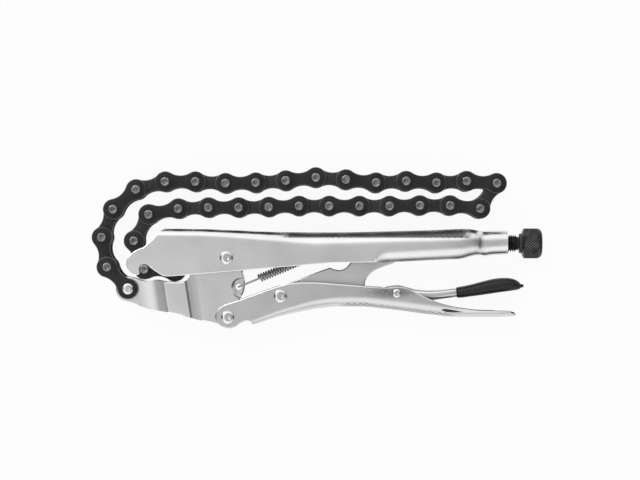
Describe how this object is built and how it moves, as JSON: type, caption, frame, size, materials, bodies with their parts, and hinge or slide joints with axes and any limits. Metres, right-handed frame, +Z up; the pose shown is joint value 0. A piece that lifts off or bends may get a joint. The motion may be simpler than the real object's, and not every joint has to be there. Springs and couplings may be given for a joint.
{
  "type": "locking chain clamp",
  "caption": "Locking plier clamp with a roller chain folded over its handle, an adjusting screw, a lever, a toggle and a release lever.",
  "frame": {"origin": "on the axis of the rivet that joins the jaw to the fixed handle, at the height of the surface that the tool lies on", "axes": "+X along the fixed handle towards the adjusting knob, +Y towards the folded chain, +Z up along the pivots"},
  "size_m": [0.2375, 0.0848, 0.0248],
  "materials": {
    "nickel_plate": "nickel plated, satin with bright edges",
    "bright_rivet": "bright",
    "black_chain": "dark oiled steel",
    "black_screw": "black oxide",
    "black_knurl": "black oxide with a diamond knurl",
    "black_vinyl": "dipped vinyl",
    "spring_steel": "bare wire"
  },
  "bodies": {
    "handle": {"fixed_handle": "nickel_plate", "jaw_pivot_rivet": "bright_rivet", "tension_spring": "spring_steel"},
    "jaw": {"jaw_bracket": "nickel_plate", "chain_end_rivet": "bright_rivet"},
    "lever": {"lever_handle": "nickel_plate", "lever_pivot_rivet": "bright_rivet", "toggle_rivet": "bright_rivet", "release_rivet": "bright_rivet"},
    "toggle": {"toggle_link": "nickel_plate"},
    "release": {"release_lever": "nickel_plate", "release_grip": "black_vinyl"},
    "screw": {"adjusting_screw": "black_screw"},
    "knob": {"adjusting_knob": "black_knurl"},
    "chain_end": {"chain_end_plate_upper": "black_chain", "chain_end_plate_lower": "black_chain"},
    "link_01": {"chain_link_01": "black_chain"},
    "link_02": {"chain_link_02": "black_chain"},
    "link_03": {"chain_link_03": "black_chain"},
    "link_04": {"chain_link_04": "black_chain"},
    "link_05": {"chain_link_05": "black_chain"},
    "link_06": {"chain_link_06": "black_chain"},
    "link_07": {"chain_link_07": "black_chain"},
    "link_08": {"chain_link_08": "black_chain"},
    "link_09": {"chain_link_09": "black_chain"},
    "link_10": {"chain_link_10": "black_chain"},
    "link_11": {"chain_link_11": "black_chain"},
    "link_12": {"chain_link_12": "black_chain"},
    "link_13": {"chain_link_13": "black_chain"},
    "link_14": {"chain_link_14": "black_chain"},
    "link_15": {"chain_link_15": "black_chain"},
    "link_16": {"chain_link_16": "black_chain"},
    "link_17": {"chain_link_17": "black_chain"},
    "link_18": {"chain_link_18": "black_chain"},
    "link_19": {"chain_link_19": "black_chain"},
    "link_20": {"chain_link_20": "black_chain"},
    "link_21": {"chain_link_21": "black_chain"},
    "link_22": {"chain_link_22": "black_chain"},
    "link_23": {"chain_link_23": "black_chain"},
    "link_24": {"chain_link_24": "black_chain"},
    "link_25": {"chain_link_25": "black_chain"},
    "link_26": {"chain_link_26": "black_chain"},
    "link_27": {"chain_link_27": "black_chain"},
    "link_28": {"chain_link_28": "black_chain"},
    "link_29": {"chain_link_29": "black_chain"},
    "link_30": {"chain_link_30": "black_chain"}
  },
  "joints": [
    {"name": "jaw_hinge", "type": "hinge", "parent": "handle", "child": "jaw", "pos_m": [0, 0, 0.0124], "axis": [0, 0, 1], "range_deg": [0, 6.57], "deforming": ["tension_spring"]},
    {"name": "lever_hinge", "type": "hinge", "parent": "jaw", "child": "lever", "pos_m": [0.00068, -0.03127, 0.0124], "axis": [0, 0, 1], "range_deg": [-25, 0]},
    {"name": "toggle_hinge", "type": "hinge", "parent": "lever", "child": "toggle", "pos_m": [0.02834, -0.02009, 0.0124], "axis": [0, 0, 1], "range_deg": [0, 27.53]},
    {"name": "release_hinge", "type": "hinge", "parent": "lever", "child": "release", "pos_m": [0.08946, -0.01861, 0.0124], "axis": [0, 0, 1], "range_deg": [-8, 0]},
    {"name": "screw_slide", "type": "slide", "parent": "handle", "child": "screw", "axis": [1, 0, 0], "range_m": [0, 0.018]},
    {"name": "knob_turn", "type": "hinge", "parent": "screw", "child": "knob", "pos_m": [0.156, 0.00754, 0.0124], "axis": [1, 0, 0], "range_deg": [0, 4320]},
    {"name": "chain_end_hinge", "type": "hinge", "parent": "jaw", "child": "chain_end", "pos_m": [-0.05174, -0.01629, 0.0124], "axis": [0, 0, 1], "range_deg": [-11.81, 0]},
    {"name": "chain_hinge_01", "type": "hinge", "parent": "chain_end", "child": "link_01", "pos_m": [-0.06276, -0.00487, 0.0124], "axis": [0, 0, 1], "range_deg": [-1.83, 1.83]},
    {"name": "chain_hinge_02", "type": "hinge", "parent": "link_01", "child": "link_02", "pos_m": [-0.06552, 0.01076, 0.0124], "axis": [0, 0, 1], "range_deg": [0, 13.95]},
    {"name": "chain_hinge_03", "type": "hinge", "parent": "link_02", "child": "link_03", "pos_m": [-0.05957, 0.02548, 0.0124], "axis": [0, 0, 1], "range_deg": [-8, 8]},
    {"name": "chain_hinge_04", "type": "hinge", "parent": "link_03", "child": "link_04", "pos_m": [-0.04759, 0.03589, 0.0124], "axis": [0, 0, 1], "range_deg": [-8.37, 8.37]},
    {"name": "chain_hinge_05", "type": "hinge", "parent": "link_04", "child": "link_05", "pos_m": [-0.03226, 0.04, 0.0124], "axis": [0, 0, 1], "range_deg": [-8.71, 0]},
    {"name": "chain_hinge_06", "type": "hinge", "parent": "link_05", "child": "link_06", "pos_m": [-0.01638, 0.04, 0.0124], "axis": [0, 0, 1], "range_deg": [-2.19, 2.19]},
    {"name": "chain_hinge_07", "type": "hinge", "parent": "link_06", "child": "link_07", "pos_m": [-0.00053, 0.03917, 0.0124], "axis": [0, 0, 1], "range_deg": [0, 10]},
    {"name": "chain_hinge_08", "type": "hinge", "parent": "link_07", "child": "link_08", "pos_m": [0.01534, 0.03945, 0.0124], "axis": [0, 0, 1], "range_deg": [-19.94, 0]},
    {"name": "chain_hinge_09", "type": "hinge", "parent": "link_08", "child": "link_09", "pos_m": [0.03118, 0.04056, 0.0124], "axis": [0, 0, 1], "range_deg": [0, 9.94]},
    {"name": "chain_hinge_10", "type": "hinge", "parent": "link_09", "child": "link_10", "pos_m": [0.04697, 0.04222, 0.0124], "axis": [0, 0, 1], "range_deg": [0, 7]},
    {"name": "chain_hinge_11", "type": "hinge", "parent": "link_10", "child": "link_11", "pos_m": [0.0628, 0.04111, 0.0124], "axis": [0, 0, 1], "range_deg": [-14.14, 0]},
    {"name": "chain_hinge_12", "type": "hinge", "parent": "link_11", "child": "link_12", "pos_m": [0.07859, 0.03945, 0.0124], "axis": [0, 0, 1], "range_deg": [0, 7.14]},
    {"name": "chain_hinge_13", "type": "hinge", "parent": "link_12", "child": "link_13", "pos_m": [0.09444, 0.04028, 0.0124], "axis": [0, 0, 1], "range_deg": [0, 10]},
    {"name": "chain_hinge_14", "type": "hinge", "parent": "link_13", "child": "link_14", "pos_m": [0.1103, 0.03945, 0.0124], "axis": [0, 0, 1], "range_deg": [-20, 0]},
    {"name": "chain_hinge_15", "type": "hinge", "parent": "link_14", "child": "link_15", "pos_m": [0.12615, 0.04028, 0.0124], "axis": [0, 0, 1], "range_deg": [0, 10]},
    {"name": "chain_hinge_30", "type": "hinge", "parent": "handle", "child": "link_29", "pos_m": [-0.0432, -0.00601, 0.0124], "axis": [0, 0, 1], "range_deg": [-3.4, 3.4]},
    {"name": "chain_hinge_29", "type": "hinge", "parent": "link_29", "child": "link_28", "pos_m": [-0.04863, 0.00891, 0.0124], "axis": [0, 0, 1], "range_deg": [-8, 8]},
    {"name": "chain_hinge_28", "type": "hinge", "parent": "link_28", "child": "link_27", "pos_m": [-0.04093, 0.02279, 0.0124], "axis": [0, 0, 1], "range_deg": [-9.2, 9.2]},
    {"name": "chain_hinge_27", "type": "hinge", "parent": "link_27", "child": "link_26", "pos_m": [-0.02535, 0.02582, 0.0124], "axis": [0, 0, 1], "range_deg": [-5.71, 5.71]},
    {"name": "chain_hinge_26", "type": "hinge", "parent": "link_26", "child": "link_25", "pos_m": [-0.00949, 0.02637, 0.0124], "axis": [0, 0, 1], "range_deg": [-1.12, 1.12]},
    {"name": "chain_hinge_25", "type": "hinge", "parent": "link_25", "child": "link_24", "pos_m": [0.00639, 0.02637, 0.0124], "axis": [0, 0, 1], "range_deg": [0, 8.6]},
    {"name": "chain_hinge_24", "type": "hinge", "parent": "link_24", "child": "link_23", "pos_m": [0.02226, 0.02665, 0.0124], "axis": [0, 0, 1], "range_deg": [-17.17, 0]},
    {"name": "chain_hinge_23", "type": "hinge", "parent": "link_23", "child": "link_22", "pos_m": [0.03813, 0.02721, 0.0124], "axis": [0, 0, 1], "range_deg": [0, 8.57]},
    {"name": "chain_hinge_22", "type": "hinge", "parent": "link_22", "child": "link_21", "pos_m": [0.054, 0.02721, 0.0124], "axis": [0, 0, 1], "range_deg": [0, 7.91]},
    {"name": "chain_hinge_21", "type": "hinge", "parent": "link_21", "child": "link_20", "pos_m": [0.06988, 0.02721, 0.0124], "axis": [0, 0, 1], "range_deg": [-15.82, 0]},
    {"name": "chain_hinge_20", "type": "hinge", "parent": "link_20", "child": "link_19", "pos_m": [0.08575, 0.02721, 0.0124], "axis": [0, 0, 1], "range_deg": [0, 7.91]},
    {"name": "chain_hinge_19", "type": "hinge", "parent": "link_19", "child": "link_18", "pos_m": [0.10163, 0.02748, 0.0124], "axis": [0, 0, 1], "range_deg": [0, 4]},
    {"name": "chain_hinge_18", "type": "hinge", "parent": "link_18", "child": "link_17", "pos_m": [0.1175, 0.02748, 0.0124], "axis": [0, 0, 1], "range_deg": [-8.06, 0]},
    {"name": "chain_hinge_17", "type": "hinge", "parent": "link_17", "child": "link_16", "pos_m": [0.13329, 0.02589, 0.0124], "axis": [0, 0, 1], "range_deg": [0, 4.06]},
    {"name": "chain_tail_hinge", "type": "hinge", "parent": "link_29", "child": "link_30", "pos_m": [-0.0432, -0.00601, 0.0124], "axis": [0, 0, 1], "range_deg": [-30, 45]}
  ],
  "couplings": [
    {"joint": "jaw_hinge", "follows": "lever_hinge", "ratio": -0.26266},
    {"joint": "toggle_hinge", "follows": "lever_hinge", "ratio": -1.101},
    {"joint": "knob_turn", "follows": "screw_slide", "rad_per_m": 4188.8},
    {"joint": "chain_hinge_08", "follows": "chain_hinge_07", "ratio": -1.994},
    {"joint": "chain_hinge_09", "follows": "chain_hinge_07", "ratio": 0.994},
    {"joint": "chain_hinge_25", "follows": "chain_hinge_07", "ratio": 0.86},
    {"joint": "chain_hinge_24", "follows": "chain_hinge_07", "ratio": -1.7166},
    {"joint": "chain_hinge_23", "follows": "chain_hinge_07", "ratio": 0.85656},
    {"joint": "chain_hinge_11", "follows": "chain_hinge_10", "ratio": -2.02},
    {"joint": "chain_hinge_12", "follows": "chain_hinge_10", "ratio": 1.02},
    {"joint": "chain_hinge_22", "follows": "chain_hinge_10", "ratio": 1.13},
    {"joint": "chain_hinge_21", "follows": "chain_hinge_10", "ratio": -2.26},
    {"joint": "chain_hinge_20", "follows": "chain_hinge_10", "ratio": 1.13},
    {"joint": "chain_hinge_14", "follows": "chain_hinge_13", "ratio": -2},
    {"joint": "chain_hinge_15", "follows": "chain_hinge_13", "ratio": 1},
    {"joint": "chain_hinge_19", "follows": "chain_hinge_13", "ratio": 0.4},
    {"joint": "chain_hinge_18", "follows": "chain_hinge_13", "ratio": -0.8056},
    {"joint": "chain_hinge_17", "follows": "chain_hinge_13", "ratio": 0.4056},
    {"joint": "chain_hinge_01", "follows": "chain_hinge_03", "ratio": -0.2279},
    {"joint": "chain_hinge_04", "follows": "chain_hinge_03", "ratio": -1.0451},
    {"joint": "chain_hinge_06", "follows": "chain_hinge_03", "ratio": 0.273},
    {"joint": "chain_hinge_30", "follows": "chain_hinge_29", "ratio": -0.42414},
    {"joint": "chain_hinge_28", "follows": "chain_hinge_29", "ratio": -1.1494},
    {"joint": "chain_hinge_27", "follows": "chain_hinge_29", "ratio": 0.71264},
    {"joint": "chain_hinge_26", "follows": "chain_hinge_29", "ratio": -0.13908},
    {"joint": "chain_end_hinge", "follows": "lever_hinge", "ratio": 0.4724},
    {"joint": "chain_hinge_02", "follows": "lever_hinge", "ratio": -0.5579},
    {"joint": "chain_hinge_05", "follows": "lever_hinge", "ratio": 0.34816}
  ]
}
